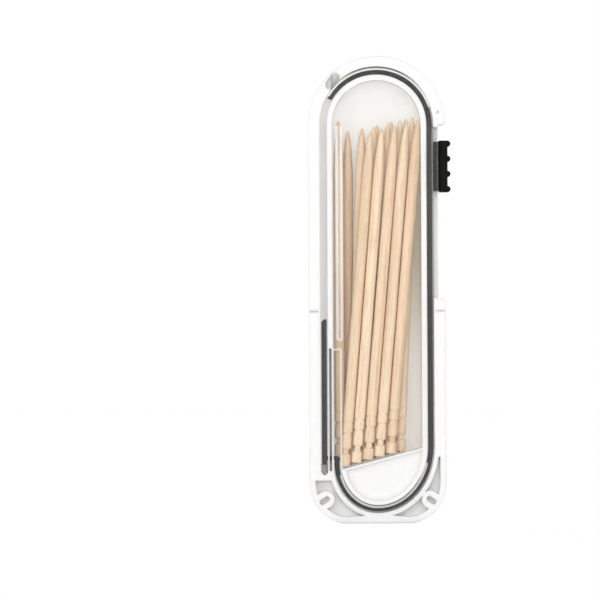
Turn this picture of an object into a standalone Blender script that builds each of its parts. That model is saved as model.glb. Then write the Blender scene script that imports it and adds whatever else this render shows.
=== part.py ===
"""A pocket toothpick dispenser that opens and pushes with one thumb slide.

The dispenser stands upright on its flat base. X runs across the case, towards
the thumb slide. Y runs through the case, from the clear cover at -Y to the
white face at +Y. Z is up, and the origin is the middle of the flat base.
All sizes are in metres.

A flexible strip runs round the case in a track. Its upper end is the shutter
over the exit, the thumb slide grips its straight side, and its lower end
carries the pusher that lifts one toothpick out of the exit.
"""

import math

import bmesh
import bpy
from mathutils import Matrix

# Toothpicks
pick_length = 0.065
pick_radius = 0.00103
pick_end_chamfer = 0.00012
pick_cap_length = 0.0023
pick_neck_length = 0.00105
pick_neck_share = 0.61
pick_bulb_length = 0.0032
pick_bulb_share = 0.96
pick_bulb_top_share = 0.78
pick_bead_length = 0.0018
pick_groove_length = 0.0004
pick_groove_share = 0.855
pick_turning_step = 0.00015
pick_point_length = 0.0155
pick_tip_radius = 0.00016
pick_seat_gap = 0.00015
pick_cover_gap = 0.0003
pick_layer_gap = 0.00015
pick_floor_gap = 0.00042
lane_side_gap = 0.00027
picks_in_layer = 5

# How the loose toothpicks of a layer share its free width: the gap left of the first foot, the
# gap between feet, the gap right of the last point and the gap between points
front_shares = (0.167, 0.027, 0.074, 0.034)
middle_shares = (0.074, 0.053, 0.337, 0.088)
back_shares = (0.087, 0.045, 0.487, 0.132)
pick_wander = 0.0001
pick_wander_shares = (0, -0.8, 1, 0.4, 0)

# Case outline, seen from the cover side
side_wall_thickness = 0.0023
corner_radius = 0.0079
corner_flat_cut = 0.0001
notch_depth = 0.00134
notch_step_radius = 0.0008
notch_top_slant = 0.00025

# Depth of the case
cover_thickness = 0.0011
floor_thickness = 0.0012
cover_gap = 0.0003
edge_rounding = 0.0003

# Label face at the back
rim_width = 0.0007
panel_rise = 0.0007
panel_side_band = 0.0037
panel_top_band = 0.0048
panel_bottom_band = 0.0042
panel_corner_radius = 0.0055
panel_edge = 0.0002

# Hopper, walls and track inside the case
hopper_half_width = 0.0086
wall_thickness = 0.00105
track_width = 0.00135
outer_wall_thickness = 0.0012
base_wall_thickness = 0.002
low_left_rise = 0.0096
low_right_rise = 0.0127
channel_drop = 0.0022
channel_floor_wall = 0.0011
ramp_drop = 0.00114
ramp_rise = 0.00415
ramp_rib_thickness = 0.00045
dish_depth = 0.0014
dish_wall_thickness = 0.0009
dish_floor_shares = ((0, 1), (0.55, 0.98), (0.82, 0.92), (0.95, 0.8), (1, 0.6))
dish_centre_share = 0.33
pocket_depth = 0.003
pocket_end_gap = 0.0003
right_pocket_rise = 0.0012

# Snap bosses in the two lower corners, with their slots and the cover's tabs
boss_inset = 0.0019
boss_angle = math.radians(-34)
boss_radius = 0.0017
boss_reach = 0.0039
boss_slot_length = 0.0021
boss_slot_width = 0.001
snap_tab_clearance = 0.00025
snap_tab_length = 0.0014
snap_tab_end_gap = 0.0003

# Exit at the upper left
exit_clearance = 0.00032
exit_drop = 0.0012
exit_pocket_angle = math.radians(135)
exit_pocket_tilt = math.radians(54)
exit_pocket_length = 0.0036
exit_pocket_radius = 0.0009

# Mould mark on the hopper floor, gate mark by the notch, and the cover's two side slots
mark_place_shares = (0.56, 0.6)
mark_radius_share = 0.15
mark_depth = 0.00015
gate_mark_angle = math.radians(11)
gate_mark_radius = 0.00025
side_slot_drop = 0.0022
side_slot_end_gap = 0.0003
side_slot_length = 0.0015
side_slot_height = 0.0003
side_slot_depth = 0.0006

# Ribs on the inner face of the cover
rib_sink = 0.0002
long_rib_height = 0.0005
long_rib_wall_gap = 0.0006
long_rib_radius = 0.0007
long_rib_width = 0.00053
long_rib_top_gap = 0.0003
long_rib_gate_gap = 0.0014
gate_rib_height = 0.00015
gate_rib_width = 0.00036
gate_lane_width = 0.0017
bead_height = 0.00015
bead_width = 0.00036
bead_wall_gap = 0.00005
top_bead_start = math.radians(18)
top_bead_end = math.radians(149)
low_bead_start = math.radians(-15)
low_bead_end = math.radians(-165)

# Drive strip
strip_thickness = 0.00095
strip_width = 0.0036
strip_pick_gap = 0.00029
strip_inner_gap = 0.0002
strip_joint_gap = 0.0003
strip_joint_drop = 0.0024
shutter_lead_angle = math.radians(13.2)
shutter_tail_angle = math.radians(15.8)

# Travel of the slide, the strip and the pusher, from the rest position
travel_down = 0.0205
travel_up = 0.0016

# Pusher
pusher_head_rise = 0.0008
pusher_head_height = 0.00085
pusher_head_slant = 0.0006
pusher_head_width = 0.00115
pusher_half_depth = 0.001
pusher_side_gap = 0.0003
pusher_tab_height = 0.0008
pusher_tab_half_depth = 0.0008
pusher_tab_lap = 0.0003
pusher_stop_gap = 0.0004
gate_clearance = 0.0003
gate_lip_thickness = 0.0003
blade_length = 0.0282
blade_thickness = 0.001
blade_half_depth = 0.002
blade_chamfer = 0.0005

# Thumb slide
grip_length = 0.01
grip_gap = 0.0002
grip_top_stop_gap = 0.00133
grip_bottom_stop_gap = 0.0002
grip_thickness = 0.00165
grip_half_depth = 0.00325
grip_rounding = 0.0003
ridge_radius = 0.0006
ridge_sink = 0.00002
ridge_count = 4
neck_end_margin = 0.0002
neck_strip_lead = 0.0009
neck_depth = 0.003
neck_lap = 0.0003
neck_slot_gap = 0.0003

# One overrun serves all cuts, and the steps set how fine the curves are
overrun = 0.001
arc_steps = 30
track_steps = 31
corner_steps = 8
small_steps = 4
round_steps = 10
pick_sides = 10

# Depths, from the cover inwards
picks_depth = pick_cover_gap + 6 * pick_radius + 2 * pick_layer_gap + pick_floor_gap
case_depth = cover_thickness + picks_depth + floor_thickness
cover_outer = -case_depth / 2
cover_inner = cover_outer + cover_thickness
wall_top = cover_inner + cover_gap
tool_front = wall_top - overrun
panel_face = case_depth / 2
rim_face = panel_face - panel_rise
hopper_floor = panel_face - floor_thickness
front_layer = cover_inner + pick_cover_gap + pick_radius
middle_layer = front_layer + 2 * pick_radius + pick_layer_gap
back_layer = middle_layer + 2 * pick_radius + pick_layer_gap
strip_front = front_layer + pick_radius + strip_pick_gap
strip_back = strip_front + strip_width
neck_front = strip_front - neck_strip_lead
neck_back = neck_front + neck_depth

# Places across the case and radii
lane_side = -hopper_half_width
track_inner = hopper_half_width + wall_thickness
track_outer = track_inner + track_width
body_half_width = track_outer + side_wall_thickness
channel_place = -(track_inner + track_outer) / 2
notch_face = body_half_width - notch_depth
grip_face = notch_face + grip_gap
lane_right = lane_side + track_width
strip_radius = track_inner + strip_inner_gap + strip_thickness / 2
strip_inset = track_outer - strip_radius
lane_strip_place = lane_side + strip_inset
loaded_pick_place = lane_side + pick_radius + lane_side_gap
exit_radius = pick_radius + exit_clearance
corner_centre = body_half_width - corner_radius

# Heights
bottom_arc_height = base_wall_thickness + low_left_rise
right_arc_height = base_wall_thickness + low_right_rise
ramp_left_height = bottom_arc_height - ramp_drop
channel_bottom = bottom_arc_height - channel_drop
blade_bottom = channel_bottom + travel_up + pusher_stop_gap
pusher_head_bottom = blade_bottom + pusher_head_rise
pusher_head_top = pusher_head_bottom + pusher_head_height
tab_bottom = pusher_head_bottom + (pusher_head_height - pusher_tab_height) / 2
gate_bottom = tab_bottom - travel_up - pusher_stop_gap
gate_top = tab_bottom + pusher_tab_height + travel_down + pusher_stop_gap
loaded_pick_height = pusher_head_top + pick_seat_gap
corner_height = corner_radius - corner_flat_cut
arc_height = loaded_pick_height + pick_length - 0.8 * pick_radius
grip_top = arc_height - notch_top_slant - grip_top_stop_gap - travel_up
grip_bottom = grip_top - grip_length
notch_bottom_height = grip_bottom - travel_down - grip_bottom_stop_gap
exit_angle = math.pi - math.acos(-loaded_pick_place / strip_radius)


def clear_scene():
    for item in list(bpy.data.objects):
        bpy.data.objects.remove(item, do_unlink=True)


def arc(centre_x, centre_z, radius, start, end, steps):
    """Points on an arc in the XZ plane, both ends included."""
    points = []
    for step in range(steps + 1):
        angle = start + (end - start) * step / steps
        points.append((centre_x + radius * math.cos(angle), centre_z + radius * math.sin(angle)))
    return points


def low_curve(inset, start, end, steps):
    """Points on the low end of the track, drawn in from its outer wall by the inset.

    An angle of -180 degrees is its left end, -90 its lowest point and 0 its right end.
    """
    points = []
    for step in range(steps + 1):
        angle = start + (end - start) * step / steps
        left = math.cos(angle) < 0
        centre, rise = (bottom_arc_height, low_left_rise) if left else (right_arc_height, low_right_rise)
        reach = hopper_half_width if left else track_outer
        points.append(((reach - inset) * math.cos(angle), centre + (rise - inset) * math.sin(angle)))
    return points


def box_points(left, right, bottom, top):
    return [(left, bottom), (right, bottom), (right, top), (left, top)]


def capsule(centre_x, centre_z, length, width, angle):
    """A slot outline with round ends, its long way at the angle to X."""
    radius = width / 2
    reach = length / 2 - radius
    along_x = reach * math.cos(angle)
    along_z = reach * math.sin(angle)
    quarter = math.pi / 2
    start = angle - quarter
    middle = angle + quarter
    points = arc(centre_x + along_x, centre_z + along_z, radius, start, middle, round_steps)
    points += arc(centre_x - along_x, centre_z - along_z, radius, middle, middle + math.pi, round_steps)
    return points


def mirrored(points, side):
    return [(side * x, z) for x, z in points]


def material(name, colour, roughness):
    made = bpy.data.materials.new(name)
    made.use_nodes = True
    shader = made.node_tree.nodes["Principled BSDF"]
    shader.inputs["Base Color"].default_value = (*colour, 1)
    shader.inputs["Roughness"].default_value = roughness
    shader.inputs["Metallic"].default_value = 0
    return made


def shade(mesh):
    mesh.shade_smooth()
    mesh.set_sharp_from_angle(angle=math.radians(32))


def place_mesh(name, shape, look):
    """Turn a bmesh into an object of its own, with its faces pointing out."""
    bmesh.ops.recalc_face_normals(shape, faces=shape.faces)
    mesh = bpy.data.meshes.new(name)
    shape.to_mesh(mesh)
    shape.free()
    mesh.materials.append(look)
    shade(mesh)
    piece = bpy.data.objects.new(name, mesh)
    bpy.context.scene.collection.objects.link(piece)
    return piece


def close_rings(shape, rings):
    """Faces between neighbouring rings of equal counts, and a cap on both ends."""
    count = len(rings[0])
    for near, far in zip(rings, rings[1:]):
        for place in range(count):
            after = (place + 1) % count
            shape.faces.new((near[place], near[after], far[after], far[place]))
    shape.faces.new(rings[0])
    shape.faces.new(rings[-1])


def loft(name, sections, look):
    """Join outlines of equal point counts, each at its own depth, and cap both ends."""
    shape = bmesh.new()
    rings = []
    for depth, points in sections:
        rings.append([shape.verts.new((x, depth, z)) for x, z in points])
    close_rings(shape, rings)
    return place_mesh(name, shape, look)


def prism(name, points, front, back, look):
    return loft(name, [(front, points), (back, points)], look)


def use_tool(piece, tool, operation):
    tool.hide_render = True
    tool.display_type = "WIRE"
    change = piece.modifiers.new(tool.name, "BOOLEAN")
    change.operation = operation
    change.object = tool


def cut(piece, tool):
    use_tool(piece, tool, "DIFFERENCE")


def add(piece, tool):
    use_tool(piece, tool, "UNION")


def settle(piece):
    """Apply the piece's modifiers, remove their tools and give its new edges the right shading."""
    tools = [change.object for change in piece.modifiers]
    bpy.context.view_layer.update()
    graph = bpy.context.evaluated_depsgraph_get()
    mesh = bpy.data.meshes.new_from_object(piece.evaluated_get(graph))
    piece.modifiers.clear()
    piece.data = mesh
    mesh.name = piece.name
    shade(mesh)
    for tool in tools:
        bpy.data.objects.remove(tool, do_unlink=True)
    return piece


def case_outline(inset):
    """The case's outline, drawn in by the inset, from the flat base up the right side and round."""
    radius = corner_radius - inset
    flat_angle = math.asin((corner_height - inset) / radius)
    side = body_half_width - inset
    inner = notch_face - inset
    step_height = notch_bottom_height - inset
    step_radius = max(notch_step_radius - inset, notch_step_radius / 8)
    points = arc(corner_centre, corner_height, radius, -flat_angle, 0, corner_steps)
    points += arc(side - step_radius, step_height - step_radius, step_radius, 0, math.pi / 2, small_steps)
    points.append((inner, step_height))
    points.append((inner, arc_height - notch_top_slant + inset))
    points += arc(0, arc_height, side, math.asin(inset / side), math.pi, arc_steps)
    points += arc(-corner_centre, corner_height, radius, math.pi, math.pi + flat_angle, corner_steps)
    return points


def panel_outline(inset):
    """The label panel's outline, with a point for each point of the case's outline."""
    half_width = body_half_width - panel_side_band
    side = half_width - inset
    radius = panel_corner_radius - inset
    centre_x = half_width - panel_corner_radius
    centre_z = panel_bottom_band + panel_corner_radius
    top_centre = arc_height + body_half_width - panel_top_band - half_width
    points = arc(centre_x, centre_z, radius, -math.pi / 2, 0, corner_steps)
    for step in range(small_steps + 1):
        points.append((side, notch_bottom_height - notch_step_radius * (1 - step / small_steps)))
    points.append((side, notch_bottom_height + notch_step_radius))
    points.append((side, top_centre - notch_step_radius))
    points += arc(0, top_centre, side, 0, math.pi, arc_steps)
    points += arc(-centre_x, centre_z, radius, math.pi, 3 * math.pi / 2, corner_steps)
    return points


def ramp_height(place):
    """Height of the ramp's upper face at a place across the case."""
    return ramp_left_height + ramp_rise * (place - lane_right) / (hopper_half_width - lane_right)


def hopper_outline():
    points = [(lane_side, bottom_arc_height), (lane_right, bottom_arc_height)]
    points.append((lane_right, ramp_left_height))
    points.append((hopper_half_width, ramp_height(hopper_half_width)))
    points += arc(0, arc_height, hopper_half_width, 0, math.pi, arc_steps)
    return points


def track_outline():
    """The strip's track: up the left side, over the top, down the right side and under the hopper."""
    half = track_width / 2
    outer = arc(0, arc_height, track_outer, math.pi, 0, track_steps)
    outer += low_curve(0, 0, -math.pi, track_steps)
    inner = low_curve(track_width, -math.pi, 0, track_steps)
    inner += arc(0, arc_height, track_inner, 0, math.pi, track_steps)
    end = arc(channel_place, channel_bottom + half, half, 0, -math.pi, small_steps)
    return outer + inner + end


def low_angle(side, inset, height):
    """The low curve's angle at a height on its left or right side, as far up as its straight part."""
    centre, rise = (bottom_arc_height, low_left_rise) if side < 0 else (right_arc_height, low_right_rise)
    drop = math.asin(max(centre - height, 0) / (rise - inset))
    return drop - math.pi if side < 0 else -drop


def corner_pocket(side, top):
    """Outline of a corner pocket between the track's outer wall and the case's outer wall."""
    inset = outer_wall_thickness
    radius = corner_radius - inset
    flat_angle = math.asin((corner_height - inset) / radius)
    start = low_angle(side, -dish_wall_thickness, top)
    end = low_angle(side, -dish_wall_thickness, inset + pocket_end_gap)
    side_angle = math.asin(min(top - corner_height, 0) / radius)
    points = mirrored(low_curve(-dish_wall_thickness, start, end, arc_steps // 2), side)
    points += arc(corner_centre, corner_height, radius, -flat_angle, side_angle, corner_steps)
    if top > corner_height:
        points.append((body_half_width - inset, top))
    return mirrored(points, side)


def corner_place(reach):
    """A place on the line from the right lower corner's centre out through its boss."""
    return corner_centre + reach * math.cos(boss_angle), corner_height + reach * math.sin(boss_angle)


def boss_slot(side, clearance):
    """Outline of a snap slot, drawn in by the clearance."""
    centre = corner_place(corner_radius - boss_inset)
    length = boss_slot_length - 2 * clearance
    return mirrored(capsule(*centre, length, boss_slot_width - 2 * clearance, boss_angle), side)


def make_boss(name, side, look):
    """A boss that leans in from the outer wall, with its round end on the inner side."""
    centre = corner_place(corner_radius - boss_reach / 2)
    points = mirrored(capsule(*centre, boss_reach, 2 * boss_radius, boss_angle), side)
    return prism(f"{name}_boss", points, tool_front - overrun, wall_top + pocket_depth + overrun, look)


def make_dish_tool(look):
    """A shallow dish under the ramp, with a rounded floor."""
    inset = track_width + dish_wall_thickness
    left_height = ramp_height(inset - hopper_half_width) - ramp_rib_thickness
    right_height = ramp_height(track_outer - inset) - ramp_rib_thickness
    start = low_angle(-1, inset, left_height)
    rim = low_curve(inset, start, low_angle(1, inset, right_height), arc_steps)
    middle = (rim[0][0] + rim[-1][0]) / 2
    centre_z = bottom_arc_height - low_left_rise * dish_centre_share
    sections = [(tool_front, rim)]
    for depth_share, width_share in dish_floor_shares:
        ring = []
        for x, z in rim:
            ring_x = middle + (x - middle) * width_share
            ring.append((ring_x, centre_z + (z - centre_z) * width_share))
        sections.append((wall_top + dish_depth * depth_share, ring))
    return loft("dish", sections, look)


def cut_exit(shell, look):
    """The bore that a toothpick leaves by, and the pocket in front of it."""
    height = exit_drop + body_half_width + overrun
    shape = bmesh.new()
    place = Matrix.Translation((loaded_pick_place, middle_layer, arc_height - exit_drop + height / 2))
    bmesh.ops.create_cone(
        shape, cap_ends=True, segments=2 * round_steps, radius1=exit_radius, radius2=exit_radius,
        depth=height, matrix=place)
    cut(shell, place_mesh("exit_bore", shape, look))
    reach = track_outer + exit_pocket_radius
    centre_x = reach * math.cos(exit_pocket_angle)
    centre_z = arc_height + reach * math.sin(exit_pocket_angle)
    pocket = capsule(centre_x, centre_z, exit_pocket_length, 2 * exit_pocket_radius, exit_pocket_tilt)
    cut(shell, prism("exit_pocket", pocket, tool_front, middle_layer, look))


def cut_gate(shell, look):
    """The gate between channel and hopper that the pusher's tab moves in, with a lip on each side."""
    half_depth = pusher_tab_half_depth + gate_clearance
    through = box_points(-track_inner - overrun / 2, lane_side + overrun / 2, gate_bottom, gate_top)
    cut(shell, prism("gate", through, middle_layer - half_depth, middle_layer + half_depth, look))
    groove_left = -track_inner + gate_lip_thickness
    groove = box_points(groove_left, lane_side - gate_lip_thickness, gate_bottom, gate_top)
    cut(shell, prism("gate_groove", groove, tool_front, middle_layer, look))


def round_outline(centre_x, centre_z, radius):
    return arc(centre_x, centre_z, radius, 0, 2 * math.pi, 2 * round_steps)[:-1]


def cut_marks(shell, look):
    """The moulding marks, and the two slots that the cover's side edges snap into."""
    share_x, share_z = mark_place_shares
    mark_x = hopper_half_width * share_x
    mark_z = arc_height + hopper_half_width * share_z
    mark = round_outline(mark_x, mark_z, hopper_half_width * mark_radius_share)
    cut(shell, prism("mould_mark", mark, tool_front, hopper_floor + mark_depth, look))
    reach = (track_outer + body_half_width) / 2
    gate_x = reach * math.cos(gate_mark_angle)
    gate_z = arc_height + reach * math.sin(gate_mark_angle)
    gate_mark = round_outline(gate_x, gate_z, gate_mark_radius)
    cut(shell, prism("gate_mark", gate_mark, tool_front, wall_top + side_slot_depth, look))
    end = body_half_width - side_slot_end_gap
    top = notch_bottom_height - side_slot_drop
    slot = box_points(end - side_slot_length, end, top - side_slot_height, top)
    for name, side in (("left", -1), ("right", 1)):
        outline = mirrored(slot, side)
        cut(shell, prism(f"{name}_side_slot", outline, tool_front, wall_top + side_slot_depth, look))


def make_front_shell(white):
    outline = case_outline(0)
    sections = [(wall_top, outline), (rim_face - edge_rounding, outline)]
    sections.append((rim_face, case_outline(edge_rounding)))
    sections.append((rim_face, case_outline(rim_width)))
    sections.append((panel_face - panel_edge, panel_outline(0)))
    sections.append((panel_face, panel_outline(panel_edge)))
    shell = loft("front_shell", sections, white)
    cut(shell, prism("hopper", hopper_outline(), tool_front, hopper_floor, white))
    cut(shell, prism("track", track_outline(), tool_front, hopper_floor, white))
    cut(shell, make_dish_tool(white))
    pocket_tops = (("left", -1, channel_bottom - channel_floor_wall),
                   ("right", 1, bottom_arc_height + right_pocket_rise))
    for name, side, top in pocket_tops:
        pocket_back = wall_top + pocket_depth
        pocket = prism(f"{name}_pocket", corner_pocket(side, top), tool_front, pocket_back, white)
        cut(pocket, make_boss(name, side, white))
        cut(shell, settle(pocket))
        slot_back = cover_inner + snap_tab_length + snap_tab_end_gap
        cut(shell, prism(f"{name}_slot", boss_slot(side, 0), tool_front, slot_back, white))
    cut_exit(shell, white)
    cut_gate(shell, white)
    slot = box_points(track_outer - overrun, notch_face + overrun, grip_bottom - travel_down,
                      arc_height - notch_top_slant - neck_slot_gap)
    cut(shell, prism("neck_slot", slot, tool_front, neck_back + neck_slot_gap, white))
    cut_marks(shell, white)
    return settle(shell)


def long_rib_outline():
    """A U over the toothpick lane, open at its top."""
    centre = lane_side + long_rib_wall_gap + long_rib_radius
    inner = long_rib_radius - long_rib_width
    top = arc_height - long_rib_top_gap
    end = gate_top + long_rib_gate_gap + long_rib_radius
    points = [(centre - long_rib_radius, top)]
    points += arc(centre, end, long_rib_radius, math.pi, 2 * math.pi, round_steps)
    points.append((centre + long_rib_radius, top))
    points.append((centre + inner, top))
    points += arc(centre, end, inner, 2 * math.pi, math.pi, round_steps)
    points.append((centre - inner, top))
    return points


def gate_rib_outline():
    """A square arch over the gate, whose right leg ends at the ramp."""
    left = lane_side - gate_lip_thickness
    left_inner = left + gate_rib_width
    right = lane_side + gate_lane_width
    right_inner = right - gate_rib_width
    beam = gate_top - gate_rib_width
    return [
        (left, gate_bottom), (left, gate_top), (right, gate_top), (right, ramp_height(right)),
        (right_inner, ramp_height(right_inner)), (right_inner, beam), (left_inner, beam),
        (left_inner, gate_bottom),
    ]


def top_bead_outline():
    """A thin bead over the outer edge of the track's top."""
    outer = track_outer - bead_wall_gap
    points = arc(0, arc_height, outer, top_bead_start, top_bead_end, arc_steps)
    return points + arc(0, arc_height, outer - bead_width, top_bead_end, top_bead_start, arc_steps)


def low_bead_outline():
    """A thin bead over the inner edge of the track's low end."""
    inner = track_width - bead_wall_gap
    points = low_curve(inner - bead_width, low_bead_start, low_bead_end, arc_steps)
    return points + low_curve(inner, low_bead_end, low_bead_start, arc_steps)


def make_back_cover(clear):
    outline = case_outline(0)
    sections = [(cover_outer, case_outline(edge_rounding)), (cover_outer + edge_rounding, outline)]
    sections.append((cover_inner, outline))
    cover = loft("back_cover", sections, clear)
    root = cover_inner - rib_sink
    add(cover, prism("long_rib", long_rib_outline(), root, cover_inner + long_rib_height, clear))
    add(cover, prism("gate_rib", gate_rib_outline(), root, cover_inner + gate_rib_height, clear))
    for name, outline in (("top_bead", top_bead_outline()), ("low_bead", low_bead_outline())):
        add(cover, prism(name, outline, root, cover_inner + bead_height, clear))
    for name, side in (("left", -1), ("right", 1)):
        tab = boss_slot(side, snap_tab_clearance)
        add(cover, prism(f"{name}_tab", tab, root, cover_inner + snap_tab_length, clear))
    return settle(cover)


def strip_prism(name, outline, black):
    return prism(name, outline, strip_front, strip_back, black)


def top_strip(start, end, steps):
    """Outline of a stretch of strip in the top arc."""
    half = strip_thickness / 2
    outer = arc(0, arc_height, strip_radius + half, start, end, steps)
    return outer + arc(0, arc_height, strip_radius - half, end, start, steps)


def make_drive_strip(black):
    """The strip's long run: down the right side and round under the hopper."""
    half = strip_thickness / 2
    top = arc_height - strip_joint_gap
    end = low_angle(-1, strip_inset, bottom_arc_height - strip_joint_drop)
    points = [(strip_radius + half, top)]
    points += low_curve(strip_inset - half, 0, end, track_steps)
    points += low_curve(strip_inset + half, end, 0, track_steps)
    points.append((strip_radius - half, top))
    return strip_prism("drive_strip", points, black)


def make_lower_run(black):
    """The strip's last stretch, up to the pusher's head, which grows as the head rises."""
    half = strip_thickness / 2
    start = low_angle(-1, strip_inset, bottom_arc_height - strip_joint_drop + strip_joint_gap)
    top = pusher_head_bottom - strip_joint_gap
    points = low_curve(strip_inset - half, start, -math.pi, small_steps)
    points.append((lane_strip_place - half, top))
    points.append((lane_strip_place + half, top))
    points += low_curve(strip_inset + half, -math.pi, start, small_steps)
    return strip_prism("strip_lower_run", points, black)


def make_upper_run(black):
    """The strip's stretch over the top, which shrinks as the shutter swings open."""
    end = exit_angle - shutter_lead_angle - strip_joint_gap / strip_radius
    return strip_prism("strip_upper_run", top_strip(0, end, arc_steps), black)


def make_shutter_tip(black):
    start = exit_angle - shutter_lead_angle
    return strip_prism("shutter_tip", top_strip(start, exit_angle + shutter_tail_angle, round_steps), black)


def make_pusher(black):
    """The head that lifts a toothpick, its tab through the gate, and the blade that guides it."""
    left = lane_side + pusher_side_gap
    right = left + pusher_head_width
    head = [(left, pusher_head_bottom), (right, pusher_head_bottom)]
    head.append((right, pusher_head_top - pusher_head_slant))
    head.append((right - pusher_head_slant, pusher_head_top))
    head.append((left, pusher_head_top))
    front = middle_layer - pusher_half_depth
    pusher = prism("pusher", head, front, middle_layer + pusher_half_depth, black)
    blade_left = channel_place - blade_thickness / 2
    blade_right = channel_place + blade_thickness / 2
    tab_top = tab_bottom + pusher_tab_height
    tab = box_points(blade_right - pusher_tab_lap, left + pusher_tab_lap, tab_bottom, tab_top)
    tab_front = middle_layer - pusher_tab_half_depth
    add(pusher, prism("tab", tab, tab_front, middle_layer + pusher_tab_half_depth, black))
    blade_top = blade_bottom + blade_length
    blade = [(blade_left, blade_bottom), (blade_right, blade_bottom), (blade_right, blade_top)]
    blade.append((blade_left + blade_chamfer, blade_top))
    blade.append((blade_left, blade_top - blade_chamfer))
    blade_front = middle_layer - blade_half_depth
    add(pusher, prism("blade", blade, blade_front, middle_layer + blade_half_depth, black))
    return settle(pusher)


def grip_outline(inset):
    """Side view of the thumb grip, with its round ridges, drawn in by the inset."""
    inner = grip_face + inset
    outer = grip_face + grip_thickness - inset
    radius = ridge_radius - inset
    ridge_place = grip_face + grip_thickness - ridge_sink
    first = grip_bottom + ridge_radius
    pitch = (grip_length - 2 * ridge_radius) / (ridge_count - 1)
    points = [(inner, grip_bottom + inset)]
    for ridge in range(ridge_count):
        height = first + pitch * ridge
        if ridge:
            points.append((outer, height - ridge_radius - inset))
        points += arc(ridge_place, height, radius, -math.pi / 2, math.pi / 2, small_steps + 2)
        if ridge < ridge_count - 1:
            points.append((outer, height + ridge_radius + inset))
    points.append((inner, grip_top - inset))
    return points


def make_thumb_slider(black):
    edge = grip_rounding
    sections = [(-grip_half_depth, grip_outline(edge)), (-grip_half_depth + edge, grip_outline(0))]
    sections += [(grip_half_depth - edge, grip_outline(0)), (grip_half_depth, grip_outline(edge))]
    slide = loft("thumb_slider", sections, black)
    neck_left = strip_radius + strip_thickness / 2 + strip_joint_gap
    neck_bottom = grip_bottom + neck_end_margin
    neck = box_points(neck_left, grip_face + neck_lap, neck_bottom, grip_top - neck_end_margin)
    add(slide, prism("neck", neck, neck_front, neck_back, black))
    return settle(slide)


def toothpick_profile():
    """Height and radius of each ring of a turned toothpick, from its foot to its point."""
    step = pick_turning_step
    neck_start = pick_cap_length
    bulb_start = neck_start + pick_neck_length
    bead_start = bulb_start + pick_bulb_length
    groove_start = bead_start + pick_bead_length
    shaft_start = groove_start + pick_groove_length
    neck = pick_radius * pick_neck_share
    bulb = pick_radius * pick_bulb_share
    return [
        (0, pick_radius - pick_end_chamfer), (pick_end_chamfer, pick_radius),
        (neck_start - step, pick_radius), (neck_start, neck),
        (bulb_start - step, neck), (bulb_start + step, bulb),
        (bulb_start + pick_bulb_length / 2, bulb),
        (bead_start - step, pick_radius * pick_bulb_top_share), (bead_start, bulb),
        (groove_start - step, bulb), (groove_start, pick_radius * pick_groove_share),
        (shaft_start, pick_radius), (pick_length - pick_point_length, pick_radius),
        (pick_length - pick_tip_radius, pick_tip_radius), (pick_length, pick_tip_radius / 2),
    ]


def make_toothpick_mesh(wood):
    shape = bmesh.new()
    rings = []
    for height, radius in toothpick_profile():
        ring = []
        for side in range(pick_sides):
            angle = 2 * math.pi * side / pick_sides
            ring.append(shape.verts.new((radius * math.cos(angle), radius * math.sin(angle), height)))
        rings.append(ring)
    close_rings(shape, rings)
    return place_mesh("loaded_toothpick", shape, wood)


def place_toothpick(name, mesh, foot, point, layer):
    """Stand a toothpick on the ramp, leaning so that its point lies at the given place."""
    lean = math.asin((point - foot) / pick_length)
    low_corner = foot + pick_radius * math.cos(lean)
    height = ramp_height(low_corner) + pick_radius * math.sin(lean) + pick_seat_gap
    pick = bpy.data.objects.new(name, mesh)
    bpy.context.scene.collection.objects.link(pick)
    pick.location = (foot, layer, height)
    pick.rotation_euler = (0, lean, 0)


def pick_rows(start, shares):
    """Foot and point of each toothpick in a layer, between the start and the hopper's right wall."""
    free_width = hopper_half_width - start - 2 * pick_radius * picks_in_layer
    foot_gap, foot_space, point_gap, point_space = [free_width * share for share in shares]
    rows = []
    for number in range(picks_in_layer):
        foot = start + foot_gap + pick_radius + number * (2 * pick_radius + foot_space)
        to_last = (picks_in_layer - 1 - number) * (2 * pick_radius + point_space)
        point = hopper_half_width - point_gap - to_last
        rows.append((foot, point + pick_wander * pick_wander_shares[number]))
    return rows


def make_toothpicks(wood):
    """Three layers of loose toothpicks, and the one that stands on the pusher."""
    front = pick_rows(lane_side, front_shares)
    middle = pick_rows(loaded_pick_place + pick_radius, middle_shares)
    back = pick_rows(lane_strip_place + strip_thickness / 2, back_shares)
    loaded = make_toothpick_mesh(wood)
    loaded.location = (loaded_pick_place, middle_layer, loaded_pick_height)
    number = 0
    for layer, rows in ((front_layer, front), (middle_layer, middle), (back_layer, back)):
        for foot, point in rows:
            number += 1
            place_toothpick(f"toothpick_{number:02d}", loaded.data, foot, point, layer)
    return loaded


def joint_parent(name, place, pieces):
    """An empty on a joint's axis that carries the pieces which move together."""
    holder = bpy.data.objects.new(name, None)
    bpy.context.scene.collection.objects.link(holder)
    holder.location = place
    for piece in pieces:
        piece.parent = holder
        piece.matrix_parent_inverse = Matrix.Translation(place).inverted()


def build():
    clear_scene()
    white = material("white_plastic", (0.9, 0.9, 0.9), 0.35)
    clear = material("clear_plastic", (0.86, 0.88, 0.88), 0.08)
    black = material("black_plastic", (0.02, 0.02, 0.02), 0.45)
    wood = material("birch_wood", (0.8, 0.62, 0.42), 0.7)
    make_front_shell(white)
    make_back_cover(clear)
    make_drive_strip(black)
    make_upper_run(black)
    make_lower_run(black)
    shutter = make_shutter_tip(black)
    pusher = make_pusher(black)
    slide = make_thumb_slider(black)
    loaded = make_toothpicks(wood)
    joint_parent("slide_axis", (grip_face, 0, (grip_bottom + grip_top) / 2), [slide])
    joint_parent("pusher_axis", (lane_strip_place, middle_layer, pusher_head_bottom), [pusher, loaded])
    joint_parent("shutter_axis", (0, 0, arc_height), [shutter])


build()
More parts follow.
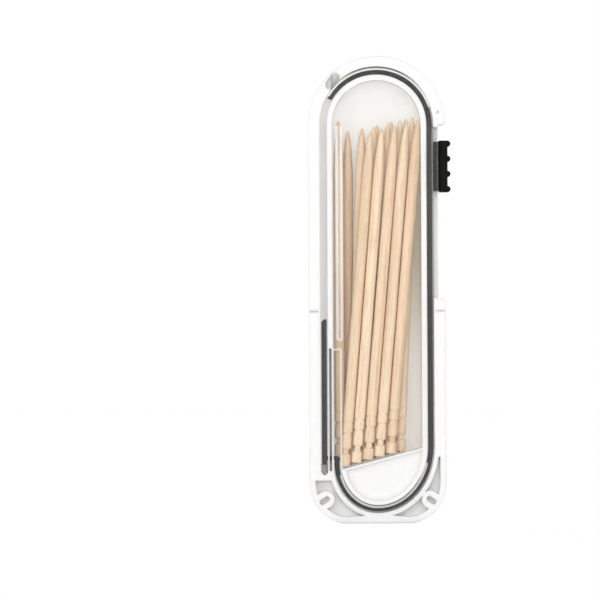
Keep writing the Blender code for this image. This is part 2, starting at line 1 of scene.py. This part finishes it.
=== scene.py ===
"""Looks of the toothpick dispenser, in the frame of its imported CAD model.

The clear cover faces -Y, where the camera stands. All sizes are in metres.
"""

import math
import random

import bmesh
import bpy
from mathutils import Matrix, Vector


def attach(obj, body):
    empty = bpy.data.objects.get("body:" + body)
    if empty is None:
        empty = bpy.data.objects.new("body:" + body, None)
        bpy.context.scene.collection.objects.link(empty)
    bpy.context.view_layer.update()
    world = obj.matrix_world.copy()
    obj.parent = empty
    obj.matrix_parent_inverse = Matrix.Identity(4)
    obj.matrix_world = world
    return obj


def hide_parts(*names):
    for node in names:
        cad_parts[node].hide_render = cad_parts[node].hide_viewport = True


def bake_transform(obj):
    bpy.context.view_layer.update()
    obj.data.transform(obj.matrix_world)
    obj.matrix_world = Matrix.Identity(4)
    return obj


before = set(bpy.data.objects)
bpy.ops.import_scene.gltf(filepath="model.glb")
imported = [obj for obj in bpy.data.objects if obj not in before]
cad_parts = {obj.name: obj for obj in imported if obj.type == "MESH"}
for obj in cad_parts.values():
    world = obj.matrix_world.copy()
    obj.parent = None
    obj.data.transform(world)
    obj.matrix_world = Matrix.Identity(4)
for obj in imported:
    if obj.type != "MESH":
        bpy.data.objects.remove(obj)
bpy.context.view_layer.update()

# The photograph: metres on one of its pixels, the object's place in it and its roll
pixel_size = 0.000194
photo_pixels = 600
photo_roll = 0.0052
point_column = 377.05
point_row = 290
point_height = 0.04526
camera_distance = 1.5
sensor_width_mm = 36

# Places and sizes that the CAD model has too
arc_height = 0.077376
bottom_arc_height = 0.0116
right_arc_height = 0.0147
low_left_rise = 0.0096
low_right_rise = 0.0127
hopper_half_width = 0.0086
track_outer = 0.011
track_width = 0.00135
strip_radius = 0.010325
strip_inset = track_outer - strip_radius
lane_strip_place = strip_inset - hopper_half_width
strip_thickness = 0.00095
strip_front = -0.001
strip_back = 0.0026
hopper_floor = 0.00355
rim_face = 0.00405
strip_joint_gap = 0.0003
strip_joint_drop = 0.0024
drive_strip_end_angle = math.asin(strip_joint_drop / (low_left_rise - strip_inset)) - math.pi
shutter_lead_angle = math.radians(121.8)
pusher_head_bottom = 0.0122
channel_place = -0.010325
blade_bottom = 0.0114
cover_inner = -0.00365
shell_front = -0.00335
pick_length = 0.065
pick_radius = 0.00103

# The scene's own toothpicks and strip
pick_point_length = 0.0125
pick_point_angle = math.radians(84)
pick_point_steps = 16
pick_tip_radius = 0.00004
pick_sides = 32
pick_lobes = 3
pick_unevenness = 0.008
pick_twist_per_metre = 300
tip_ring_depth = 0.00003
foot_ring_depth = 0.0006
strip_rounding = 0.00009
upper_band_steps = 72
low_curve_steps = 10
rise_steps = 6

# Painted light, shade and marks on the white plastic
fine_blur = 0.00004
inner_blur = 0.0002
inward_depth = 0.0028
warm_light_share = 0.8
floor_shade_width = 0.004
floor_shade_foot = 0.026
floor_shade_full = 0.056
floor_shade_fade = 0.066
floor_shade_top = 0.078
rim_half_width = 0.0004
grey_end_half_width = 0.0007
edge_shade_front = -0.0033
edge_shade_back = -0.0022
top_shade_middle = math.radians(88)
top_shade_reach = math.radians(42)
top_shade_fade = math.radians(26)
top_shade_half_width = 0.00019
low_shade_half_width = 0.0001
low_shade_gap = 0.00008
edge_shade_share = 0.92

# How far light spreads in the white plastic, and what is added deep inside and in the headroom
plain_spread = 0.0008
deep_spread = 0.0082
headroom_spread = 0.018

# Clear cover: bending of light, painted highlight on its ribs and edge, and share of gloss
clear_plastic_ior = 1.49
rib_highlight = 0.62
edge_highlight = 0.16
clear_gloss_share = 0.55

# Lamps and backdrop
lamp_target = (0, 0, 0.045)
world_light = 0.78
floor_half_size = 1.5
floor_white_share = 0.97


def linear(red, green, blue):
    """A colour as the photograph shows it, turned into the renderer's linear numbers."""
    parts = []
    for value in (red, green, blue):
        share = value / 255
        parts.append(share / 12.92 if share <= 0.04045 else ((share + 0.055) / 1.055) ** 2.4)
    return (*parts, 1)


# Materials

class Nodes:
    """A material's node tree, with short calls for the nodes that it needs."""

    def __init__(self, name):
        self.material = bpy.data.materials.new(name)
        self.material.use_nodes = True
        self.tree = self.material.node_tree
        self.tree.nodes.clear()

    def node(self, kind, inputs=None, **settings):
        made = self.tree.nodes.new(kind)
        for name, value in settings.items():
            setattr(made, name, value)
        for name, value in (inputs or {}).items():
            socket = made.inputs[name]
            if isinstance(value, bpy.types.NodeSocket):
                self.tree.links.new(value, socket)
            else:
                socket.default_value = value
        return made

    def math(self, operation, first, second=0.0, third=0.0):
        inputs = {0: first, 1: second}
        if operation == "MULTIPLY_ADD":
            inputs[2] = third
        return self.node("ShaderNodeMath", inputs, operation=operation).outputs[0]

    def product(self, first, *others):
        """All the values multiplied together."""
        for other in others:
            first = self.math("MULTIPLY", first, other)
        return first

    def ramp(self, value, low, high, at_low=0.0, at_high=1.0):
        """A smooth step from one value to another as the input goes from low to high."""
        inputs = {"Value": value, "From Min": low, "From Max": high, "To Min": at_low, "To Max": at_high}
        made = self.node("ShaderNodeMapRange", inputs, interpolation_type="SMOOTHSTEP")
        return made.outputs["Result"]

    def mix(self, share, first, second):
        made = self.node("ShaderNodeMix", data_type="RGBA")
        for place, value in ((0, share), (6, first), (7, second)):
            if isinstance(value, bpy.types.NodeSocket):
                self.tree.links.new(value, made.inputs[place])
            else:
                made.inputs[place].default_value = value
        return made.outputs[2]

    def place(self):
        """The place on a piece, in metres."""
        return self.node("ShaderNodeTexCoord").outputs["Object"]

    def split(self, vector):
        """The X, Y and Z of a place or a direction."""
        return tuple(self.node("ShaderNodeSeparateXYZ", {0: vector}).outputs)

    def noise(self, vector, scale, detail=3.0, roughness=0.5):
        inputs = {"Vector": vector, "Scale": scale, "Detail": detail, "Roughness": roughness}
        return self.node("ShaderNodeTexNoise", inputs).outputs["Fac"]

    def stretched(self, vector, scale):
        inputs = {"Vector": vector, "Scale": scale}
        return self.node("ShaderNodeMapping", inputs).outputs["Vector"]

    def ring(self, x, z, centre_z):
        """Distance from the line along Y through X 0 and the centre height."""
        up = self.math("SUBTRACT", z, centre_z)
        total = self.math("MULTIPLY_ADD", x, x, self.math("MULTIPLY", up, up))
        return self.math("SQRT", total)

    def oval(self, x, z, centre_z, across, up):
        """About how far a place lies outside an oval round X 0 and the centre height."""
        share_x = self.math("DIVIDE", x, across)
        share_z = self.math("DIVIDE", self.math("SUBTRACT", z, centre_z), up)
        total = self.math("MULTIPLY_ADD", share_x, share_x, self.math("MULTIPLY", share_z, share_z))
        share_out = self.math("SUBTRACT", self.math("SQRT", total), 1.0)
        return self.math("MULTIPLY", share_out, (across + up) / 2)

    def band(self, value, middle, half_width, soft):
        """One near the middle, falling to none across a soft edge at the half width."""
        away = self.math("ABSOLUTE", self.math("SUBTRACT", value, middle))
        return self.ramp(away, half_width - soft, half_width + soft, 1.0, 0.0)

    def bump(self, height, strength, distance, normal=None):
        inputs = {"Height": height, "Strength": strength, "Distance": distance}
        if normal is not None:
            inputs["Normal"] = normal
        return self.node("ShaderNodeBump", inputs).outputs["Normal"]

    def soft_edges(self, radius):
        return self.node("ShaderNodeBevel", {"Radius": radius}, samples=6).outputs["Normal"]

    def surface(self, shader):
        self.node("ShaderNodeOutputMaterial", {"Surface": shader})
        return self.material


def track_edge_shade(nodes, x, y, z):
    """Where thin lines of painted shade run, beside the track at the top and under its low curve."""
    in_depth = nodes.ramp(y, edge_shade_front, edge_shade_back, 1.0, 0.0)
    top_ring = nodes.ring(x, z, arc_height)
    top_line = nodes.band(top_ring, track_outer + 0.0001, top_shade_half_width, 0.00005)
    angle = nodes.math("ARCTAN2", nodes.math("SUBTRACT", z, arc_height), x)
    reach = nodes.band(angle, top_shade_middle, top_shade_reach, top_shade_fade)
    top_edge_shade = nodes.product(top_line, reach, in_depth)
    inset = track_width + low_shade_gap
    left = nodes.oval(x, z, bottom_arc_height, hopper_half_width - inset, low_left_rise - inset)
    right = nodes.oval(x, z, right_arc_height, track_outer - inset, low_right_rise - inset)
    on_right = nodes.math("GREATER_THAN", x, 0.0)
    oval = nodes.math("MULTIPLY_ADD", on_right, nodes.math("SUBTRACT", right, left), left)
    low_line = nodes.band(oval, 0.0, low_shade_half_width, fine_blur)
    below = nodes.ramp(z, bottom_arc_height - 0.004, bottom_arc_height - 0.001, 1.0, 0.0)
    low_edge_shade = nodes.product(low_line, below, in_depth)
    return nodes.math("MAXIMUM", top_edge_shade, low_edge_shade)


def white_plastic():
    """Moulded white plastic, with painted warm light and painted shade inside the case, and thin lines
    of painted shade beside the track.
    """
    nodes = Nodes("white_plastic_look")
    vector = nodes.place()
    x, y, z = nodes.split(vector)
    clouds = nodes.noise(vector, scale=260.0)
    above_floor = nodes.ramp(y, hopper_floor + 0.00005, hopper_floor + inner_blur, 1.0, 0.0)
    left_of_wall = nodes.ramp(x, track_outer - inner_blur, track_outer, 1.0, 0.0)
    within = nodes.product(above_floor, left_of_wall)
    inward = nodes.product(nodes.ramp(y, 0.0, inward_depth), within)

    # Painted warm bounce light towards the hopper's floor, and painted shade on it right of the
    # toothpicks
    colour = nodes.mix(clouds, linear(248, 247, 244), linear(251, 250, 248))
    colour = nodes.mix(nodes.product(inward, warm_light_share), colour, linear(252, 245, 235))
    # Painted shade on the floor right of the toothpicks, darkest high up near their points
    rightward = nodes.ramp(x, 0.0, floor_shade_width)
    rising = nodes.ramp(z, floor_shade_foot, floor_shade_full, 0.3, 0.95)
    fading = nodes.ramp(z, floor_shade_fade, floor_shade_top, 1.0, 0.0)
    floor_shade = nodes.product(inward, rightward, rising, fading)
    colour = nodes.mix(floor_shade, colour, linear(148, 128, 106))

    # Faint grey rim of painted shade on the label side
    rim = nodes.band(y, rim_face + 0.0001, rim_half_width, fine_blur)
    colour = nodes.mix(rim, colour, linear(243, 241, 244))

    # Grey end of the channel, below the blade at rest
    in_channel = nodes.band(x, channel_place, grey_end_half_width, 0.0001)
    below_blade = nodes.ramp(z, blade_bottom - 0.0001, blade_bottom, 1.0, 0.0)
    colour = nodes.mix(nodes.product(in_channel, below_blade, inward), colour, linear(84, 82, 78))

    # Thin dark lines of painted shade along the track's edges
    edge_shade = track_edge_shade(nodes, x, y, z)
    colour = nodes.mix(nodes.product(edge_shade, edge_shade_share), colour, linear(52, 50, 48))
    grain = nodes.noise(vector, scale=5200.0, detail=2.0)
    normal = nodes.bump(grain, strength=0.12, distance=0.00002, normal=nodes.soft_edges(0.00014))
    rough = nodes.ramp(clouds, 0.3, 0.7, 0.28, 0.4)

    # Light spreads further deep inside, to bring the recesses nearer to the photograph's brightness
    deep = nodes.product(nodes.ramp(y, 0.0002, 0.0026), within)
    further = nodes.ramp(z, 0.076, 0.085, deep_spread, headroom_spread)
    spread = nodes.math("MULTIPLY_ADD", deep, further, plain_spread)
    inputs = {
        "Base Color": colour,
        "Roughness": rough,
        "IOR": 1.5,
        "Normal": normal,
        "Subsurface Weight": 0.85,
        "Subsurface Radius": (1.0, 0.95, 0.86),
        "Subsurface Scale": spread,
    }
    return nodes.surface(nodes.node("ShaderNodeBsdfPrincipled", inputs).outputs[0])


def clear_plastic():
    """Clear sheet that shows its gloss, with a painted whitish highlight on its ribs, tabs and outer
    edge.
    """
    nodes = Nodes("clear_plastic_look")
    vector = nodes.place()
    y = nodes.split(vector)[1]
    # Painted highlight: ribs just behind the inner face turn whitish, the deeper tabs only faintly
    past_inner_face = nodes.ramp(y, cover_inner + 0.00002, cover_inner + 0.00008)
    before_tabs = nodes.ramp(y, cover_inner + 0.0006, cover_inner + 0.0007, 1.0, 0.2)
    inside = nodes.product(past_inner_face, before_tabs)
    # Painted highlight on faces turned sideways, along the cover's outer edge
    normal = nodes.node("ShaderNodeNewGeometry").outputs["Normal"]
    frontward = nodes.split(normal)[1]
    edge = nodes.ramp(nodes.math("ABSOLUTE", frontward), 0.5, 0.95, edge_highlight, 0.0)
    painted_highlight = nodes.math("MAXIMUM", nodes.product(inside, rib_highlight), edge)
    scratches = nodes.noise(nodes.stretched(vector, (1.0, 1.0, 0.12)), scale=900.0, detail=4.0)
    rough = nodes.ramp(scratches, 0.35, 0.75, 0.03, 0.09)
    tint = linear(247, 247, 247)
    gloss = nodes.node("ShaderNodeBsdfPrincipled",
                       {"Base Color": tint, "Roughness": rough, "IOR": clear_plastic_ior}).outputs[0]
    see_through = nodes.node("ShaderNodeBsdfTransparent", {"Color": (0.985, 0.985, 0.985, 1)}).outputs[0]
    fresnel = nodes.node("ShaderNodeFresnel", {"IOR": clear_plastic_ior}).outputs[0]
    share = nodes.math("MAXIMUM", nodes.product(fresnel, clear_gloss_share), painted_highlight)
    both = nodes.node("ShaderNodeMixShader", {0: share, 1: see_through, 2: gloss}).outputs[0]
    return nodes.surface(both)


def black_plastic(name, lit, dark, roughness, gloss):
    """Satin black plastic with fine draw marks along its length."""
    nodes = Nodes(name)
    vector = nodes.place()
    clouds = nodes.noise(vector, scale=420.0)
    colour = nodes.mix(clouds, dark, lit)
    marks = nodes.noise(nodes.stretched(vector, (1.0, 1.0, 0.2)), scale=2600.0, detail=4.0)
    normal = nodes.bump(marks, strength=0.2, distance=0.00003, normal=nodes.soft_edges(0.00012))
    rough = nodes.ramp(marks, 0.3, 0.7, roughness - 0.06, roughness + 0.08)
    inputs = {"Base Color": colour, "Roughness": rough, "IOR": 1.5, "Normal": normal,
              "Specular IOR Level": gloss}
    return nodes.surface(nodes.node("ShaderNodeBsdfPrincipled", inputs).outputs[0])


def birch_wood():
    """Turned birch: long fine fibres, a few darker streaks and pores."""
    nodes = Nodes("birch_wood_look")
    grain = nodes.node("ShaderNodeAttribute", attribute_name="grain").outputs["Vector"]
    tone = nodes.node("ShaderNodeAttribute", attribute_name="tone").outputs["Fac"]
    drawn_out = nodes.stretched(grain, (1.0, 1.0, 0.035))
    fibres = nodes.noise(drawn_out, scale=3800.0, detail=4.0, roughness=0.6)
    streaks = nodes.noise(nodes.stretched(grain, (1.0, 1.0, 0.03)), scale=900.0, detail=2.0)
    mottle = nodes.noise(grain, scale=900.0, detail=3.0)
    base = nodes.mix(nodes.ramp(tone, 0.0, 1.0), linear(240, 214, 183), linear(249, 229, 201))
    warm = nodes.mix(nodes.ramp(streaks, 0.42, 0.68, 0.0, 0.6), base, linear(222, 186, 148))
    lined = nodes.mix(nodes.ramp(fibres, 0.48, 0.72, 0.0, 0.6), warm, linear(204, 166, 130))
    pores = nodes.noise(nodes.stretched(grain, (1.0, 1.0, 0.12)), scale=5200.0, detail=2.0)
    spotted = nodes.mix(nodes.ramp(pores, 0.7, 0.8, 0.0, 0.5), lined, linear(178, 138, 104))
    colour = nodes.mix(nodes.ramp(mottle, 0.3, 0.7, 0.0, 0.16), spotted, linear(250, 232, 208))
    normal = nodes.bump(fibres, strength=0.35, distance=0.00004)
    inputs = {"Base Color": colour, "Roughness": 0.62, "IOR": 1.45, "Normal": normal,
              "Specular IOR Level": 0.25}
    return nodes.surface(nodes.node("ShaderNodeBsdfPrincipled", inputs).outputs[0])


# Mesh helpers

def mesh_piece(name, shape, look, smooth_angle=40):
    bmesh.ops.recalc_face_normals(shape, faces=shape.faces)
    mesh = bpy.data.meshes.new(name)
    shape.to_mesh(mesh)
    shape.free()
    mesh.materials.append(look)
    mesh.shade_smooth()
    mesh.set_sharp_from_angle(angle=math.radians(smooth_angle))
    piece = bpy.data.objects.new(name, mesh)
    bpy.context.scene.collection.objects.link(piece)
    return piece


def tube_of_rings(shape, rings):
    """Faces between neighbouring rings of equal counts, and a cap on both ends."""
    count = len(rings[0])
    for near, far in zip(rings, rings[1:]):
        for place in range(count):
            after = (place + 1) % count
            shape.faces.new((near[place], near[after], far[after], far[place]))
    shape.faces.new(rings[0])
    shape.faces.new(rings[-1])


# Toothpicks

def pick_profile():
    """Height and radius of each ring of a turned toothpick, from its foot to its point."""
    full = pick_radius
    neck = 0.61 * full
    bulb = 0.96 * full
    low_bulb = 0.78 * full
    groove = 0.855 * full
    rows = [
        (0, full - 0.00016), (0.00004, full - 0.00007), (0.00012, full - 0.00002), (0.0002, full),
        (0.0019, full), (0.00205, full - 0.00003), (0.00215, full - 0.00012), (0.0022, neck + 0.00015),
        (0.00226, neck + 0.00003), (0.0024, neck), (0.0031, neck), (0.00325, neck + 0.00006),
        (0.00335, bulb - 0.0001), (0.00345, bulb - 0.00002), (0.0037, bulb), (0.0049, bulb),
        (0.0055, bulb - 0.00005), (0.0062, low_bulb + 0.00004), (0.00644, low_bulb),
        (0.00652, low_bulb + 0.00005), (0.0066, bulb - 0.00002), (0.00675, bulb), (0.0081, bulb),
        (0.00822, bulb - 0.00003), (0.00832, groove + 0.00002), (0.0084, groove),
        (0.00852, groove + 0.00002), (0.00864, full - 0.00002), (0.0088, full),
    ]
    point_start = pick_length - pick_point_length
    for step in range(pick_point_steps + 1):
        angle = pick_point_angle * step / pick_point_steps
        rows.append((point_start + pick_point_length * math.sin(angle), full * math.cos(angle)))
    rows.append((pick_length, pick_tip_radius))
    return rows


def axis_of(node):
    """Foot and direction of a toothpick, from the rings at the two ends of its CAD solid."""
    points = [vertex.co.copy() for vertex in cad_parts[node].data.vertices]
    top = max(point.z for point in points)
    tips = [point for point in points if point.z > top - tip_ring_depth]
    tip = sum(tips, Vector()) / len(tips)
    bottom = min(point.z for point in points)
    feet = [point for point in points if point.z < bottom + foot_ring_depth]
    foot = sum(feet, Vector()) / len(feet)
    way = (tip - foot).normalized()
    return tip - way * pick_length, way


def make_pick(node, body, look, chance):
    """A turned toothpick in the place of its CAD solid, with its own grain and tone."""
    foot, way = axis_of(node)
    turn = Vector((0, 0, 1)).rotation_difference(way).to_matrix().to_4x4()
    turn = turn @ Matrix.Rotation(chance.uniform(0, 2 * math.pi), 4, "Z")
    rows = pick_profile()
    waver = chance.uniform(0, 2 * math.pi)
    shape = bmesh.new()
    rings = []
    for height, radius in rows:
        ring = []
        for side in range(pick_sides):
            angle = 2 * math.pi * side / pick_sides
            wave = math.sin(pick_lobes * angle + waver + height * pick_twist_per_metre)
            rough = 1 - pick_unevenness * (1 + wave) / 2
            spot = Vector((radius * rough * math.cos(angle), radius * rough * math.sin(angle), height))
            ring.append(shape.verts.new(spot))
        rings.append(ring)
    tube_of_rings(shape, rings)
    shape.verts.ensure_lookup_table()
    local = [vertex.co.copy() for vertex in shape.verts]
    for vertex in shape.verts:
        vertex.co = foot + turn @ vertex.co
    name = node + "_turned"
    piece = mesh_piece(name, shape, look, smooth_angle=50)
    shift = Vector((chance.uniform(0, 0.1), chance.uniform(0, 0.1), chance.uniform(0, 0.5)))
    piece.data.attributes.new("grain", "FLOAT_VECTOR", "POINT")
    piece.data.attributes.new("tone", "FLOAT", "POINT")
    grain = piece.data.attributes["grain"].data
    tone = piece.data.attributes["tone"].data
    shade = chance.uniform(0.15, 1.0)
    for number, spot in enumerate(local):
        grain[number].vector = spot + shift
        tone[number].value = shade
    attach(piece, body)
    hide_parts(node)


# Flexible strip

def strip_rings(path, half_thickness, front, back, rounding):
    """Rings of the strip's section along a path of (place, outward direction)."""
    rings = []
    low = half_thickness - rounding
    for place, outward in path:
        ring = []
        corners = (
            (-half_thickness, front + rounding), (-low, front), (low, front),
            (half_thickness, front + rounding), (half_thickness, back - rounding),
            (low, back), (-low, back), (-half_thickness, back - rounding),
        )
        for out, depth in corners:
            spot = place + outward * out
            ring.append(Vector((spot.x, depth, spot.z)))
        rings.append(ring)
    return rings


def make_strip(name, path, look):
    shape = bmesh.new()
    rings = []
    for ring in strip_rings(path, strip_thickness / 2, strip_front, strip_back, strip_rounding):
        rings.append([shape.verts.new(spot) for spot in ring])
    tube_of_rings(shape, rings)
    piece = mesh_piece(name, shape, look, smooth_angle=50)
    return piece


def around(centre_z, across, up, angle):
    """A place on an oval round X 0 and the centre height, and its outward direction."""
    place = Vector((across * math.cos(angle), 0, centre_z + up * math.sin(angle)))
    outward = Vector((math.cos(angle) / across, 0, math.sin(angle) / up)).normalized()
    return place, outward


def make_upper_band(look):
    """The strip over the top, from the long run to the shutter, in one curved piece."""
    right = Vector((1, 0, 0))
    path = [(Vector((strip_radius, 0, arc_height - strip_joint_gap)), right)]
    for step in range(upper_band_steps + 1):
        angle = shutter_lead_angle * step / upper_band_steps
        path.append(around(arc_height, strip_radius, strip_radius, angle))
    band = make_strip("top_band", path, look)
    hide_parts("strip_upper_run")
    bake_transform(band)


def make_lower_band(look):
    """The strip's last stretch, from the long run up to the pusher."""
    across = hopper_half_width - strip_inset
    up = low_left_rise - strip_inset
    path = []
    for step in range(low_curve_steps + 1):
        angle = drive_strip_end_angle + (-math.pi - drive_strip_end_angle) * step / low_curve_steps
        path.append(around(bottom_arc_height, across, up, angle))
    left = Vector((-1, 0, 0))
    rise = pusher_head_bottom - bottom_arc_height
    for step in range(1, rise_steps + 1):
        height = bottom_arc_height + rise * step / rise_steps
        path.append((Vector((lane_strip_place, 0, height)), left))
    band = make_strip("lower_band", path, look)
    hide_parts("strip_lower_run")
    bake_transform(band)


# Floor, light and camera

def make_stage():
    """White paper that the camera sees as nearly plain white, so that shadows on it don't show."""
    nodes = Nodes("floor_look")
    clouds = nodes.noise(nodes.place(), scale=3.0)
    colour = nodes.mix(clouds, linear(246, 246, 246), linear(250, 250, 250))
    paper = nodes.node("ShaderNodeBsdfDiffuse", {"Color": colour}).outputs[0]
    white = nodes.node("ShaderNodeEmission", {"Color": (1, 1, 1, 1), "Strength": 1.0}).outputs[0]
    path = nodes.node("ShaderNodeLightPath")
    seen = nodes.math("MAXIMUM", path.outputs["Is Camera Ray"], path.outputs["Is Glossy Ray"])
    seen = nodes.math("MAXIMUM", seen, path.outputs["Is Transmission Ray"])
    share = nodes.product(seen, floor_white_share)
    both = nodes.node("ShaderNodeMixShader", {0: share, 1: paper, 2: white}).outputs[0]
    look = nodes.surface(both)
    shape = bmesh.new()
    half = floor_half_size
    corners = ((-half, -half), (half, -half), (half, half), (-half, half))
    shape.faces.new([shape.verts.new((x, y, 0)) for x, y in corners])
    floor = mesh_piece("floor", shape, look)


def make_world():
    """White where the camera, a gloss or clear plastic shows it, and dimmer as a light."""
    world = bpy.data.worlds.new("studio")
    bpy.context.scene.world = world
    world.use_nodes = True
    tree = world.node_tree
    tree.nodes.clear()
    path = tree.nodes.new("ShaderNodeLightPath")
    first = tree.nodes.new("ShaderNodeMath")
    first.operation = "MAXIMUM"
    tree.links.new(path.outputs["Is Camera Ray"], first.inputs[0])
    tree.links.new(path.outputs["Is Glossy Ray"], first.inputs[1])
    second = tree.nodes.new("ShaderNodeMath")
    second.operation = "MAXIMUM"
    tree.links.new(first.outputs[0], second.inputs[0])
    tree.links.new(path.outputs["Is Transmission Ray"], second.inputs[1])
    level = tree.nodes.new("ShaderNodeMapRange")
    tree.links.new(second.outputs[0], level.inputs["Value"])
    level.inputs["To Min"].default_value = world_light
    level.inputs["To Max"].default_value = 1.0
    sky = tree.nodes.new("ShaderNodeBackground")
    sky.inputs["Color"].default_value = (1, 1, 1, 1)
    tree.links.new(level.outputs["Result"], sky.inputs["Strength"])
    output = tree.nodes.new("ShaderNodeOutputWorld")
    tree.links.new(sky.outputs[0], output.inputs["Surface"])


def make_lamp(name, place, size, watts, mirrored=True):
    light = bpy.data.lights.new(name, "AREA")
    light.shape = "RECTANGLE"
    light.size = size[0]
    light.size_y = size[1]
    light.energy = watts
    lamp = bpy.data.objects.new(name, light)
    bpy.context.scene.collection.objects.link(lamp)
    lamp.location = place
    way = Vector(lamp_target) - Vector(place)
    lamp.rotation_euler = way.to_track_quat("-Z", "Y").to_euler()
    lamp.visible_camera = False
    lamp.visible_glossy = mirrored


def make_camera():
    """A far camera that shows the object at the size, place and roll that the photograph has."""
    data = bpy.data.cameras.new("camera")
    data.sensor_width = sensor_width_mm
    data.lens = sensor_width_mm * camera_distance / (photo_pixels * pixel_size)
    data.clip_start = 0.1
    data.clip_end = 20
    camera = bpy.data.objects.new("camera", data)
    bpy.context.scene.collection.objects.link(camera)
    right = Vector((math.cos(photo_roll), 0, -math.sin(photo_roll)))
    up = Vector((math.sin(photo_roll), 0, math.cos(photo_roll)))
    back = Vector((0, -1, 0))
    known = Vector((0, shell_front, point_height))
    aim = known - right * (point_column - photo_pixels / 2) * pixel_size
    aim -= up * (photo_pixels / 2 - point_row) * pixel_size
    turn = Matrix((right, up, back)).transposed().to_4x4()
    camera.matrix_world = Matrix.Translation(aim + back * camera_distance) @ turn
    bpy.context.scene.camera = camera


def paint(node, look):
    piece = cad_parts[node]
    if not piece.data.materials:
        piece.data.materials.append(look)
    for slot in piece.material_slots:
        slot.material = look


bpy.context.scene.view_settings.view_transform = "Standard"
make_camera()
make_world()
make_stage()
make_lamp("key", (0.06, -1.35, 0.35), size=(0.3, 0.6), watts=2.4)
make_lamp("front", (0.02, -1.4, 0.08), size=(0.5, 0.5), watts=4.6, mirrored=False)
make_lamp("side", (-0.6, -1.2, 0.08), size=(0.4, 0.3), watts=2.8, mirrored=False)
make_lamp("behind", (-0.5, 1.1, 0.75), size=(0.3, 0.3), watts=2.5)

white = white_plastic()
clear = clear_plastic()
strip_black = black_plastic("strip_look", linear(52, 50, 47), linear(30, 29, 27), 0.42, 0.25)
grip_black = black_plastic("grip_look", linear(15, 14, 13), linear(8, 8, 7), 0.45, 0.08)
wood = birch_wood()

paint("front_shell", white)
paint("back_cover", clear)
paint("thumb_slider", grip_black)
for node in ("drive_strip", "shutter_tip", "pusher"):
    paint(node, strip_black)

chance = random.Random(7)
make_pick("loaded_toothpick", "pusher", wood, chance)
for number in range(1, 16):
    make_pick(f"toothpick_{number:02d}", "case", wood, chance)
make_upper_band(strip_black)
make_lower_band(strip_black)
